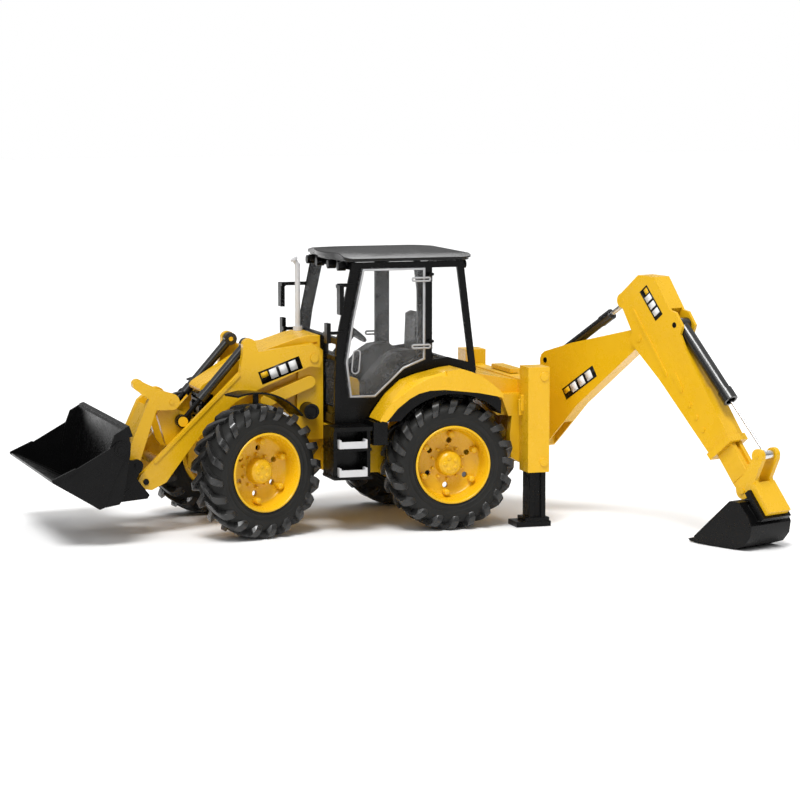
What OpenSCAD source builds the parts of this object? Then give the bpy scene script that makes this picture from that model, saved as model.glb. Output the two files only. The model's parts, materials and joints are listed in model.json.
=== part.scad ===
// Toy backhoe loader, assembled from separate pieces.
// Millimetres. +X is forward, +Y is the machine's own left, +Z is up.
// X = 0 is half way between the axles, Y = 0 the centre line, Z = 0 the ground.

/* [Wheels and axles] */
// distance between the two axles
wheelbase = 138; // [136:1:141]
// outside diameter of the tyres, over the lugs
tyre_d = 90; // [87:0.5:91]
// width of a tyre
tyre_w = 28; // [24:0.5:28]
// overall width over the tyres
track_out = 150; // [150:0.5:154]
// how far the front wheels are turned to the left
steer_rest = 18.6; // [0:0.1:20]

/* [Cab] */
// height of the top of the roof above the ground
roof_top = 190; // [189:0.5:192]
// half width of the cab over its side frames
cab_half = 50; // [49:0.5:50]

/* [Loader] */
// width of the front bucket
loader_width = 150; // [140:1:160]
// half width of the engine hood at the cab end
hood_half = 22; // [18:0.5:22]

/* [Backhoe] */
// how far the backhoe is swung from straight behind to the left
swing_rest = 66; // [0:1:80]
// width of the digging bucket
digger_width = 39; // [30:1:44]
// half width of the boom
boom_half = 5.2; // [5:0.1:5.3]

/* [Stabilisers] */
// half distance between the outer faces of the two leg housings
housing_out = 75; // [73:0.5:76]

/* [Hidden] */
$fn = 48;
xf = wheelbase / 2;
xr = -wheelbase / 2;
tr = tyre_d / 2;
wy = track_out / 2 - tyre_w / 2 - 1;
kp = 50;
ax_z = 45;
king = [-148, 0];
boom_pin = [14, 56];
stick_pin = [117, 131.3];
ram_root = [25.9, 108.8];
ear_pin = [101.4, 155.9];
stick_ang = 51;
yellow = [0.96, 0.72, 0.05];
black = [0.08, 0.08, 0.085];
rubber = [0.05, 0.05, 0.05];
silver = [0.78, 0.78, 0.8];
clear = [0.8, 0.86, 0.88, 0.35];
lift_pin = [17, 116.5];
tip_pin = [135, 36.5];
link_pin = [142, 48];
knee = [115.3, 89.2];
crank_pin = [110, 60];
ram_front = [107.6, 75.5];
ram_rear = [62.5, 126.5];
jaw_pin = [161.6, 64.6];
lh = loader_width / 2;
dh = digger_width / 2;

// ---- shapes used by more than one piece ----
module slab(pts, y0, y1) translate([0, y1, 0]) rotate([90, 0, 0]) linear_extrude(y1 - y0) polygon(pts);
module disc(c, r, y0, y1) translate([c[0], y1, c[1]]) rotate([90, 0, 0]) cylinder(h = y1 - y0, r = r);
module box(x0, x1, y0, y1, z0, z1) translate([x0, y0, z0]) cube([x1 - x0, y1 - y0, z1 - z0]);
module both() { children(); mirror([0, 1, 0]) children(); }
module along(a, b) translate([a[0], 0, a[1]]) rotate([0, -atan2(b[1] - a[1], b[0] - a[0]), 0]) children();
module bar(a, b, r, y0, y1) {
  d = norm(b - a);
  n = [-(b[1] - a[1]) / d * r, (b[0] - a[0]) / d * r];
  slab([a + n, b + n, b - n, a - n], y0, y1);
  disc(a, r, y0, y1);
  disc(b, r, y0, y1);
}
// everything behind the swing pin is drawn straight back along +X, then swung into place
module swung() translate([king[0], king[1], 0]) rotate([0, 0, 180 - swing_rest]) children();
// the dipper arm has its own axis: X runs down the arm from its pin, Z away from the boom
module dipper() translate([stick_pin[0], 0, stick_pin[1]]) rotate([0, stick_ang, 0]) children();
// a front wheel assembly is turned about its kingpin
module steered(s) translate([xf, s * kp, 0]) rotate([0, 0, steer_rest]) translate([-xf, -s * kp, 0]) children();

// ---- chassis ----
module chassis() color(yellow) difference() {
  union() {
    box(-123.5, 94, -18, 18, 38, 60);
    box(-30, 8.8, -43.5, 43.5, 38, 71);
    box(10, 92, -17, 17, 60, 72);
  }
  box(xf - 19, xf - 7.4, -30, 30, 41.4, 48.6);
}
module front_axle() color(yellow) difference() {
  union() {
    both() {
      box(xf - 6, xf + 6, 18, 43.5, 39, 51);
      box(xf - 5, xf + 5, 36, kp, 53.2, 58);
      box(xf - 5, xf + 5, 36, kp, 32, 36.8);
      translate([xf, kp, 53.2]) cylinder(h = 4.8, r = 5);
      translate([xf, kp, 32]) cylinder(h = 4.8, r = 5);
      box(xf - 5, xf + 5, 34, 41, 32, 58);
      box(xf - 5, xf + 5, 18, 36, 34, 44);
    }
    box(xf - 5, xf + 5, -20, 20, 32, 38);
  }
  both() translate([xf, kp, 30]) cylinder(h = 30, r = 2.06);
  both() box(xf - 6.1, xf + 6.1, 41, 44, 37, 53);
}
module rear_axle() color(yellow) difference() {
  union() {
    disc([xr, ax_z], 8, -41, 41);
    box(xr - 13, xr + 13, -13, 13, 33, 38);
    disc([xr, ax_z], 4, -wy - 5, wy + 5);
  }
  box(-123.5, 98, -18, 18, 38, 60);
}
module hood() color(yellow) {
  difference() {
    union() {
      slab([[10, 72.2], [10, 131.3], [19, 131.3], [26, 129.8], [52, 121.6], [56, 120], [56, 72.2]], -hood_half,
        hood_half);
      slab([[56, 72.2], [56, 120], [62, 117.2], [73.4, 110.4], [88, 101.4], [92, 98.8], [93.6, 96.4],
        [92.8, 94.2], [84, 92], [84, 72.2]], -15.5, 15.5);
    }
    // hollow underneath
    slab([[13, 60], [13, 126], [22, 126], [52, 117], [72, 107], [81, 101], [81, 60]], -12.6, 12.6);
    // shallow step along each top edge
    both() slab([[12, 124.5], [12, 126.5], [34, 123], [52, 117.5], [52, 116.3]], hood_half - 0.8, hood_half + 1);
  }
}
module grille() color(black) {
  difference() {
    box(84.2, 92, -14.5, 14.5, 72.2, 91.8);
    for (i = [0:4]) box(90.5, 93, -12.5, 12.5, 74.5 + 3.4 * i, 76.3 + 3.4 * i);
  }
  both() translate([92, 9.5, 82]) rotate([0, 90, 0]) cylinder(h = 1.6, r = 3.6);
}
module loader_towers() color(yellow) both() difference() {
  union() {
    slab([[9, 71.5], [9, 121], [13, 125], [22, 124], [26, 112], [27.5, 96], [27.5, 71.5]], hood_half + 0.4,
      hood_half + 3.6);
    disc(lift_pin, 6, hood_half + 0.4, hood_half + 3.6);
    // strut running forward and down to the frame
    bar([19.5, 100], [50, 88], 4.2, hood_half + 0.4, hood_half + 7.2);
    slab([[46, 87], [54, 87], [62, 72], [62, 60], [50, 60]], hood_half + 0.4, hood_half + 3.6);
    box(9, 62, 17.5, hood_half + 3.6, 60, 72);
  }
  disc([20.4, 80.5], 5.5, 10, 40);
  box(xf - 19, xf + 12, 10, 30, 41, 49);
}
module cross_tube() color(black) both() {
  difference() {
    disc([20.4, 80.5], 5.4, hood_half + 0.1, 37);
    disc([20.4, 80.5], 3.6, 36, 38);
  }
}
// ---- cab ----
module side_panel(s) {
  difference() {
    slab([[8, 73], [7.8, 100], [6.4, 130], [-4.6, 182.4], [-84, 182.4], [-93.4, 106.5], [-88, 106.6],
      [-81, 109], [-73.5, 111.2], [-66, 110], [-58, 108.6], [-48.5, 106.4], [-37.5, 102.7], [-26.7, 93.4],
      [-16.8, 80.7], [-12, 73]], cab_half - 2.6, cab_half);
    slab([[-2.9, 92.2], [-0.4, 114], [-4.6, 143], [-12.2, 177], [-51, 177], [-51, 117.4], [-39.6, 111.4],
      [-30.5, 103.4], [-19.5, 92.2]], cab_half - 4, cab_half + 2);
    slab([[-61.5, 115], [-61.5, 178], [-79.5, 178], [-88.3, 112.4], [-80, 114.6], [-73, 116.4]],
      cab_half - 4, cab_half + 2);
  }
}
module cab_frame() color(black) {
  both() {
    side_panel(1);
    // door hinge studs on the middle pillar
    for (z = [124.6, 170.4]) {
      box(-62, -58, cab_half - 1, cab_half + 1.2, z + 2.4, z + 4);
      translate([-60, cab_half + 2.6, z + 2.4]) cylinder(h = 1.6, r = 1.9);
      box(-62, -58, cab_half - 1, cab_half + 2.6, z + 2.4, z + 4);
      translate([-60, cab_half + 2.6, z - 1.9]) cylinder(h = 4.6, r = 0.8);
    }
    // front corner lower frame
    box(4.4, 7.4, 20.5, 23.5, 78, 131);
    box(4.4, 7.4, 22, cab_half - 1, 116, 119);
  }
  // floor, front cross bars, rear cross bars
  difference() {
    box(-93, 8, -cab_half + 1, cab_half - 1, 73, 79);
    both() translate([xr, 30, ax_z]) rotate([-90, 0, 0]) cylinder(h = 30, r = 47.5);
  }
  slab([[7.3, 79], [3, 79], [3, 84], [7.3, 84]], -cab_half + 1, cab_half - 1);
  slab([[6.6, 127], [2.4, 127], [2.2, 131], [6.2, 131]], -cab_half + 1, cab_half - 1);
  slab([[-3.4, 177.4], [-7, 177.4], [-8, 182.4], [-4.6, 182.4]], -cab_half + 1, cab_half - 1);
  slab([[-83.4, 178], [-80, 178], [-80, 182.4], [-84, 182.4]], -cab_half + 1, cab_half - 1);
  difference() {
    slab([[-92.9, 110], [-89.4, 110], [-88.5, 105], [-91, 78], [-93.3, 78], [-93.3, 106.5]], -cab_half + 1,
      cab_half - 1);
    both() translate([xr, 43.5, ax_z]) rotate([-90, 0, 0]) cylinder(h = 30, r = 47.5);
  }
  // bulkhead behind the hood
  box(5, 7.4, -22, 22, 79, 131);
  // inner wheel arches
  both() difference() {
    slab([[-24, 78], [-36, 97], [-50, 103.5], [-74, 106.5], [-90, 104], [-90, 78]], 36, 38.5);
    translate([xr, 30, ax_z]) rotate([-90, 0, 0]) cylinder(h = 30, r = 40);
  }
}
module roof_plan(i) {
  translate([-91.5 + i, -cab_half + 8]) square([91.5 - 2 * i, 2 * cab_half - 16]);
  translate([-83.5, -cab_half + i]) square([75.5, 2 * cab_half - 2 * i]);
  for (s = [-1, 1]) {
    translate([-83.5, s * (cab_half - 8)]) circle(r = 8 - i);
    translate([-8, s * (cab_half - 8)]) circle(r = 8 - i);
  }
  intersection() {
    translate([-92, 0]) circle(r = 95.8 - i);
    translate([-20, -cab_half + 10]) square([40, 2 * cab_half - 20]);
  }
}
module roof() color(black) {
  z0 = 182.6;
  translate([0, 0, z0]) linear_extrude(1.6) roof_plan(1.4);
  // crowned both ways
  intersection() {
    translate([0, 0, z0 + 1.5]) linear_extrude(roof_top - z0 - 1.5) roof_plan(0);
    translate([-100, 0, roof_top - 250]) rotate([0, 90, 0]) cylinder(h = 120, r = 250, $fn = 360);
    translate([-42, 60, roof_top - 400]) rotate([90, 0, 0]) cylinder(h = 120, r = 400, $fn = 360);
  }
}
module windscreen() color(clear)
  slab([[5.2, 131.3], [6.2, 131.3], [-3.6, 177.1], [-4.6, 177.1]], -cab_half + 2.9, cab_half - 2.9);
module side_glass() color(clear) both() {
  slab([[-62.3, 115.3], [-62.3, 177.7], [-79.3, 177.7], [-88, 112.8], [-80, 114.9], [-73, 116.7]],
    cab_half - 1.9, cab_half - 0.9);
  box(5.4, 6.4, 23.8, cab_half - 2.9, 84.3, 115.7);
  box(5.2, 6.2, 23.8, cab_half - 2.9, 119.3, 126.7);
}
module rear_window() color(clear)
  slab([[-91.4, 110.3], [-90.4, 110.3], [-82, 177.7], [-83, 177.7]], -cab_half + 2.9, cab_half - 2.9);
module seat() color(black) {
  box(-66, -40, -13, 13, 92, 101);
  slab([[-66, 92], [-60, 92], [-62, 142], [-66, 144], [-70, 140]], -12, 12);
  box(-60, -46, -8, 8, 79.1, 93);
  both() box(-62, -46, 14, 17, 105, 108);
  both() box(-64, -60, 11, 17, 104, 109);
}
module wheel_axis() translate([-20, 0, 131]) rotate([0, -38, 0]) children();
module steering_column() color(black) {
  wheel_axis() translate([0, 0, -6]) difference() {
    translate([0, 0, -27]) cylinder(h = 27, r = 3.2);
    translate([0, 0, -8]) cylinder(h = 9, r = 1.56);
  }
  box(-3, 2.8, -12, 12, 79.1, 118);
  slab([[2.8, 118], [-4, 118], [-8, 112], [-8, 100], [-3, 96], [2.8, 96]], -12, 12);
}
module steering_wheel() color(black) wheel_axis() {
  rotate_extrude() translate([10, 0]) circle(r = 1.5);
  for (a = [90, 210, 330]) rotate([0, 0, a]) translate([0, -1.2, -1]) cube([10, 2.4, 1.8]);
  translate([0, 0, -5.6]) cylinder(h = 7, r = 2.8);
  translate([0, 0, -13]) cylinder(h = 8, r = 1.5);
}
module mirrors() color(black) {
  // side, then place of the upper mirror, its foot and height, and foot of the lower mirror
  for (m = [[0, 6, 148, 20, 129], [1, 16, 145, 17, 123.6]]) mirror([0, m[0], 0]) {
    translate([m[1] - 1.8, cab_half + 2.7, m[2]]) cube([3, 7.4, m[3]]);
    box(-5, m[1] + 0.4, cab_half, cab_half + 1.6, m[2] + m[3] - 1.8, m[2] + m[3] + 0.6);
    box(m[1] - 1.8, m[1] + 1.2, cab_half + 0.2, cab_half + 6, m[2] + m[3] - 2.4, m[2] + m[3]);
    translate([13.4, cab_half + 2.9, m[4]]) cube([2.8, 6.8, 13.5]);
    box(1, 15.2, cab_half, cab_half + 1.2, m[4] + 5, m[4] + 7.2);
    box(13.4, 16.2, cab_half + 0.2, cab_half + 4, m[4] + 4.6, m[4] + 7.4);
  }
}
module work_lights() color(black) both() {
  for (y = [14, 38]) {
    translate([-3.2, y, 179.2]) rotate([0, 90, 0]) cylinder(h = 5.6, r = 3);
    box(-3.2, 0.5, y - 1.6, y + 1.6, 180, 182.6);
  }
  translate([-88.8, 40, 179.2]) rotate([0, 90, 0]) cylinder(h = 4.6, r = 2.8);
  box(-88, -85, 38.6, 41.4, 180, 182.6);
}
module exhaust() color(silver) {
  translate([15, -17, 131.35]) cylinder(h = 3, r = 3.2);
  translate([15, -17, 131.35]) cylinder(h = 46.6, r = 1.8);
  translate([15, -17, 177]) rotate([0, 32, 0]) cylinder(h = 4.5, r = 1.6);
  translate([15, -17, 177]) rotate([0, 32, 0]) translate([0, 0, 4]) cylinder(h = 1.2, r = 2.6);
}
// ---- outside of the body ----
module rear_fenders() color(yellow) both() difference() {
  top = [[-16.4, 77], [-17.9, 80], [-27.1, 92.6], [-37.8, 101.9], [-48.6, 105.6], [-59.3, 108], [-66, 109.6],
    [-73.7, 110.6], [-81, 108.5], [-88.2, 105.6], [-94, 101.6], [-101, 96], [-104.5, 92.6]];
  low = [[-104.5, 89.6], [-100, 91], [-87.5, 93.6], [-73.2, 95.4], [-62, 96.6], [-51.8, 96.4], [-44, 94.6],
    [-37.6, 91.4], [-29.1, 85], [-23, 78], [-21, 76.2]];
  under = [[-104.5, 89.6], [-100, 93], [-93, 99], [-87.4, 103], [-80.5, 106], [-73.6, 107.9], [-66, 107],
    [-59.8, 105.5], [-49.4, 103.1], [-39.2, 99.6], [-29, 91], [-19, 78.4], [-17.4, 76.2]];
  union() {
    slab(concat(top, low), cab_half + 22.4, cab_half + 25);
    slab(concat(top, under), cab_half + 0.2, cab_half + 24.8);
  }
  // room for the lower edge of the door as it swings out
  intersection() {
    translate([-60, cab_half + 2.6, 0]) rotate_extrude()
      polygon([[0, 114.8], [4.4, 114.6], [20, 108.5], [28.9, 100.2], [40.4, 89.7], [60, 89.7], [63, 92], [63, 120],
        [0, 120]]);
    box(-64, 10, cab_half - 5, cab_half + 70, 80, 125);
  }
}
module fender_liners() color(black) both() difference() {
  union() {
    slab([[-17, 76], [-19.2, 78], [-29.2, 90.6], [-39.5, 99.2], [-49.6, 102.7], [-60, 105.1], [-66, 106.6],
      [-73.6, 107.5], [-80.3, 105.6], [-87.2, 102.6], [-93, 98.4], [-100, 92], [-104, 88], [-104, 76]],
      cab_half + 0.2, cab_half + 22);
    box(-23.5, -13.4, cab_half + 0.2, cab_half + 20, 60, 75.8);
  }
  translate([xr, 0, ax_z]) rotate([-90, 0, 0]) cylinder(h = 90, r = 48.3);
}
module step_boxes() color(black) both() {
  difference() {
    box(-11.5, 14.5, 44, 69, 39, 72);
    box(-9, 12, 56, 72, 58.6, 70.5);
    box(-9, 12, 57, 72, 39.4, 57);
    box(-12, -5, 40, 50, 60, 80);
  }
  box(-12.4, 14.5, 50.2, 71, 70.2, 73);
  box(-12, 15, 44, 70.5, 56.6, 58.6);
  box(-12, 15, 44, 72, 37.5, 39.4);
}
module step_treads() color(silver) both() {
  for (z = [58.7, 39.5]) {
    box(-8.4, 11.4, 64, 71.6, z, z + 1.6);
    box(-8.4, 11.4, 70.6, 72.6, z, z + 4.6);
    for (x = [-8.4, 9.8]) box(x, x + 1.6, 66, 72.6, z, z + 6);
  }
}
module rear_frame() color(yellow) {
  slab([[-93.6, 104.4], [-93.6, 88], [-104, 79], [-109, 75], [-124, 75], [-124, 99], [-110, 101.4]], -49.8, 49.8);
  both() slab([[-108.6, 90.5], [-114.5, 75], [-124, 75], [-124, 90.5]], 49, 57);
  box(-134, -123.6, -57.2, 57.2, 88, 100);
  box(-134, -123.6, -57.2, 57.2, 42, 52);
  box(-127.5, -123.6, -57.2, 57.2, 51, 89);
  both() slab([[-117, 75.5], [-115.6, 62], [-116.6, 46], [-123.8, 42], [-123.8, 75.5]], 50, 57);
}
module stabiliser_housings() color(yellow) both() {
  o = housing_out;
  difference() {
    union() {
      box(-138, -122.5, o - 17.6, o, 37.4, 110);
      disc([-134, 103.5], 3, o - 1, o + 1);
      disc([-134, 44.5], 3, o - 1, o + 1);
      box(-123, -120.6, o - 15, o - 9.5, 79, 90);
      box(-124, -119.6, o - 13.6, o - 11, 76, 87);
    }
    box(-136.5, -124, o - 16.1, o - 1.5, 30, 108.4);
  }
}
module leg() color(black) {
  o = housing_out;
  difference() {
    box(-136.15, -124.35, o - 15.75, o - 1.85, 3, 75);
    box(-132.8, -127.7, o - 3.6, o, 6, 76);
  }
  box(-139.5, -114.5, o - 18, o, 0, 3.6);
  box(-138.5, -121, o - 17, o - 0.6, 3, 6.2);
}
module leg_l() leg();
module leg_r() mirror([0, 1, 0]) leg();
// ---- doors ----
module door() color(clear) {
  y = cab_half + 0.4;
  difference() {
    union() {
      slab([[-1.4, 90.6], [1.5, 115], [-3, 143], [-10.8, 178.6], [-56, 178.6], [-56, 115.2], [-40.5, 109.2],
        [-31.5, 101], [-20, 90.4]], y, y + 1.9);
    }
    slab([[-3.6, 93], [-1, 115], [-5.4, 143], [-12.6, 176.2], [-53, 176.2], [-53, 117], [-39, 111.2],
      [-30.2, 103], [-19, 93]], y + 1.1, y + 3);
  }
  // inside rail
  bar([-2.6, 124], [-52, 124], 0.9, y + 0.6, y + 1.8);
  // hinge straps reaching back over the middle pillar
  for (z = [124.6, 170.4]) {
    box(-60, -46, y + 1.2, y + 3, z - 2, z + 2);
    difference() {
      translate([-60, cab_half + 2.6, z - 2]) cylinder(h = 4, r = 1.9);
      translate([-60, cab_half + 2.6, z - 3]) cylinder(h = 6, r = 0.86);
    }
  }
  // loop handle
  difference() {
    bar([-5.4, 110], [-6.4, 121], 3.2, y + 1, y + 2.9);
    bar([-5.4, 110], [-6.4, 121], 1.8, y, y + 4);
  }
}
module door_clean() difference() {
  door();
  for (z = [124.6, 170.4]) translate([-60, cab_half + 2.6, z - 3]) cylinder(h = 6, r = 0.86);
}
module door_l() color(clear) door_clean();
module door_r() color(clear) mirror([0, 1, 0]) door_clean();
// ---- wheels ----
module tyre_shape() color(rubber) {
  w = tyre_w / 2;
  rotate([90, 0, 0]) rotate_extrude() polygon([[26, -w + 1.6], [26, w - 1.6], [28, w - 0.5], [33, w],
    [37.5, w - 0.6], [tr - 5, w - 2.4], [tr - 3.4, w - 6], [tr - 3, 0], [tr - 3.4, -w + 6], [tr - 5, -w + 2.4],
    [37.5, -w + 0.6], [33, -w], [28, -w + 0.5]]);
  for (s = [0, 1]) mirror([0, s, 0]) for (i = [0:19]) rotate([0, 18 * i + 9 * s, 0]) rotate([-30, 0, 0])
    translate([0, 0, -2.2]) linear_extrude(4.4) polygon([[tr - 4.4, -1], [tr - 0.75, -0.2], [tr - 0.75, w - 2.4],
      [tr - 2, w + 0.2], [tr - 6, w + 1], [tr - 9.4, w + 0.8], [tr - 9.4, w - 3]]);
}
module rim_shape(bore) color(yellow) difference() {
  union() {
    rotate([90, 0, 0]) rotate_extrude() polygon([[23.4, -13], [25.9, -13], [25.9, 13.4], [24.8, 13.4],
      [23.6, 0], [23, -4], [23, -12.6]]);
    rotate([90, 0, 0]) rotate_extrude() polygon([[0, 1], [24.6, -1.6], [24.6, 1.2], [0, 3.6]]);
    rotate([90, 0, 0]) rotate_extrude() polygon([[23.8, -12], [25.9, -12.6], [26.9, -13.6], [26.6, -14.2],
      [24.4, -14.2]]);
    rotate([90, 0, 0]) translate([0, 0, -7.4]) cylinder(h = 9, r = 8.1);
    rotate([90, 0, 0]) translate([0, 0, -8.4]) cylinder(h = 3, r = 7);
    for (i = [0:4]) rotate([0, 72 * i, 0]) translate([4, 9, 0]) rotate([90, 0, 0]) cylinder(h = 2, r = 1.4);
    for (i = [0:5]) rotate([0, 60 * i + 25, 0]) translate([20, 6.4, 0]) rotate([90, 0, 0]) cylinder(h = 7, r = 2.2);
    for (i = [0:9]) rotate([0, 36 * i, 0]) translate([11.2, 2.4, 0]) rotate([90, 0, 0]) cylinder(h = 3.4, r = 1.1);
  }
  translate([0, 5.5, 0]) rotate([90, 0, 0]) cylinder(h = 30, r = bore);
  for (i = [0:5]) rotate([0, 60 * i + 25, 0]) translate([15.4, 5, 0]) rotate([90, 0, 0]) cylinder(h = 20, r = 2);
}
module at_front(s) steered(s) translate([xf, s * wy, ax_z]) mirror([0, s < 0 ? 1 : 0, 0]) rotate([0, 26, 0]) children();
module at_rear(s) translate([xr, s * wy, ax_z]) mirror([0, s < 0 ? 1 : 0, 0]) children();
module tyre_fl() color(rubber) at_front(1) tyre_shape();
module tyre_fr() color(rubber) at_front(-1) tyre_shape();
module tyre_rl() color(rubber) at_rear(1) tyre_shape();
module tyre_rr() color(rubber) at_rear(-1) tyre_shape();
module rim_fl() color(yellow) at_front(1) rim_shape(4.06);
module rim_fr() color(yellow) at_front(-1) rim_shape(4.06);
module rim_rl() color(yellow) at_rear(1) rim_shape(4.06);
module rim_rr() color(yellow) at_rear(-1) rim_shape(4.06);
// ---- steering ----
module knuckle(s) color(black) steered(s) mirror([0, s < 0 ? 1 : 0, 0]) difference() {
  union() {
    box(xf - 4.6, xf + 4.6, kp - 4.6, kp + 3, 37.4, 52.6);
    translate([xf, kp, 32.4]) cylinder(h = 25.2, r = 2);
    disc([xf, ax_z], 4, kp + 2, wy + 5);
    box(xf - 17, xf - 11, kp - 10.6, kp - 1, 42, 43.6);
    box(xf - 17, xf - 3, kp - 4.5, kp - 1, 42, 43.6);
    translate([xf - 14, kp - 8, 42]) cylinder(h = 5.6, r = 1.5);
    // stay that carries the mudguard
    box(xf - 12, xf - 8, kp - 6.1, kp - 4.7, 48.2, 94.5);
    box(xf - 12, xf - 2, kp - 6.1, kp - 4.4, 48.2, 52);
  }
}
module knuckle_l() knuckle(1);
module knuckle_r() knuckle(-1);
module mudguard(s) color(black) steered(s) mirror([0, s < 0 ? 1 : 0, 0])
  translate([xf + 1, 0, ax_z]) difference() {
    slab([[0, 0], [14.5, 54.9], [5, 70], [-45, 70], [-60, 52.2]], kp - 6.4, kp + 10);
    rotate([-90, 0, 0]) cylinder(h = 90, r = 51.4);
    difference() {
      rotate([-90, 0, 0]) cylinder(h = 90, r = 90);
      translate([0, -1, 0]) rotate([-90, 0, 0]) cylinder(h = 93, r = 52.8);
    }
  }
module mudguard_l() mudguard(1);
module mudguard_r() mudguard(-1);
module tie_rod() color(silver) {
  y = 14 * sin(steer_rest);
  translate([0, -y, 0]) difference() {
    union() {
      box(xf - 16, xf - 12, -38, 38, 44, 47);
      both() box(xf - 20, xf - 6.6, 38, 46.4, 44, 47);
    }
    both() box(xf - 18, xf - 8.4, 40, 44.4, 40, 50);
  }
}
// ---- loader ----
module loader_arms() color(yellow) {
  both() difference() {
    union() {
      slab([[13, 110], [11.4, 116], [13, 122.6], [18, 126.6], [56, 122], [58.2, 127], [62.5, 131.2], [67, 127],
        [67.3, 120], [69.4, 108.2], [138.6, 41], [140, 35], [136, 31.6], [131, 30.6], [121, 35.5], [101, 62],
        [88, 76], [72, 88.5], [53.3, 97.7], [20, 111]], 26, 31.5);
      disc(ram_rear, 4.7, 26, 31.5);
      disc(tip_pin, 5.3, 26, 31.5);
      disc(lift_pin, 5.6, 26, 31.5);
      disc(ram_rear, 1.5, 18.2, 27);
      disc(crank_pin, 2, 12.4, 27);
      disc(crank_pin, 4.6, 18.1, 27);
      // flange along the top edge of the front half
      slab([[70, 108.4], [130, 50.2], [128.4, 48.6], [69, 106.2]], 31.4, 32.4);
    }
    disc(lift_pin, 3.06, 20, 40);
    disc(tip_pin, 2.06, 20, 40);
  }
  // cross tube between the two arms
  disc([122, 47], 3.4, -26.2, 26.2);
}
module lift_studs() disc(lift_pin, 3, hood_half + 0.4, 32.6);
module bell_cranks() color(yellow) both() difference() {
  union() {
    slab([[103, 76], [104.6, 80.4], [110, 83.4], [122, 83], [123.6, 79.5], [118, 60], [114, 55], [106, 56],
      [104.6, 66]], 12.6, 17.6);
    disc(knee, 4.4, 12.6, 17.6);
    disc(ram_front, 4.8, 12.6, 17.6);
    disc(crank_pin, 5.6, 12.6, 17.6);
    slab([[110.5, 89], [111, 80], [121, 80], [119.6, 89]], 12.6, 17.6);
    disc(knee, 1.6, 17, 25.6);
    disc(ram_front, 1.5, 17, 25.7);
    disc(ram_front, 3.4, 24.9, 25.7);
  }
  disc(crank_pin, 2.06, 10, 20);
}
module tilt_links() color(yellow) difference() {
  union() {
    // near plate, with the hand lever on its top end
    slab([[111.5, 86], [119, 83.6], [126, 84], [138.2, 47], [145.6, 49], [144.2, 60], [130.8, 91.4],
      [141, 99], [137.6, 104.6], [131, 101.4], [122, 97], [113.2, 94.4]], 18.4, 25);
    disc([138.4, 101.6], 3.6, 18.4, 25);
    // far plate
    slab([[111.5, 86], [119, 83.6], [124.6, 82.6], [138.2, 47], [145.6, 49], [139.6, 62], [133, 76.6],
      [128.6, 86.2], [121, 92.4], [113.2, 94.4]], -25, -18.4);
    both() {
      disc(knee, 5.6, 18.4, 25);
      disc(link_pin, 4.4, 18.4, 25);
    }
    // web between the plates
    slab([[125.8, 84], [128.6, 85.4], [135, 71.5], [138.2, 62.4], [135.2, 61.4], [132.2, 70.4]], -18.5, 18.5);
  }
  disc(knee, 1.66, -30, 30);
  disc(link_pin, 2.4, -30, 30);
}
tilt_len = norm(ram_front - ram_rear);
module tilt_barrels() color(black) both() difference() {
  along(ram_rear, ram_front) translate([0, 22, 0]) {
    difference() {
      union() {
        rotate([0, 90, 0]) translate([0, 0, 2]) cylinder(h = 45, r = 3.1);
        rotate([0, 90, 0]) translate([0, 0, 43]) cylinder(h = 6, r = 3.5);
        rotate([90, 0, 0]) translate([0, 0, -3.4]) cylinder(h = 6.8, r = 4.3);
      }
      rotate([0, 90, 0]) translate([0, 0, 10]) cylinder(h = 60, r = 1.9);
    }
  }
  disc(ram_rear, 1.56, 10, 30);
}
module tilt_rods() color(black) both() difference() {
  along(ram_rear, ram_front) translate([0, 22, 0]) {
    rotate([0, 90, 0]) translate([0, 0, 24]) cylinder(h = tilt_len - 26, r = 1.6);
    rotate([90, 0, 0]) translate([tilt_len, 0, -2.6]) cylinder(h = 6.1, r = 4.3);
  }
  disc(ram_front, 2.2, 10, 30);
}
module loader_bucket() color(black) {
  h = lh - 1.6;
  slab([[157.4, 79], [154.4, 68], [155.4, 58], [160, 31.5], [162.6, 28.2], [171.6, 26.6], [171.6, 29.4],
    [166.4, 31.6], [158.6, 66], [159.8, 77.4]], -h, h);
  both() slab([[157.4, 79], [165.4, 74.4], [168.6, 66], [171.8, 48], [171.8, 26.6], [162.6, 28.2], [155, 60],
    [154.4, 68]], h - 1.8, h);
  both() disc(jaw_pin, 2.5, h - 0.2, lh + 1.2);
  both() {
    slab([[157.8, 57], [160, 31], [150, 28.4], [137, 30.6], [135, 41.5], [138.5, 50.4], [142, 52.4], [152, 53]],
      13, 16.4);
    disc(tip_pin, 5.4, 13, 16.4);
    // outer ear, shaped round the end of the arm
    slab([[157.8, 57], [160, 31], [156.4, 22.4], [153, 24], [135, 25.6], [133.4, 28], [142.2, 39.4],
      [138.4, 46.8], [140, 51], [152, 53]], 32, 35.4);
    for (y = [13, 32]) disc(link_pin, 4.4, y, y + 3.4);
    disc([149, 30], 2.4, 35, 36);
    disc(tip_pin, 2, 13, 32.2);
  }
  // stiffening bead along the top edge
  slab([[158.4, 79], [157, 72], [153, 73], [155.4, 80]], -h, h);
}
module loader_pins() color(black) both() {
  disc(link_pin, 1.5, 16.4, 32);
  disc(link_pin, 1.6, 35.4, 36.4);
}
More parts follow.
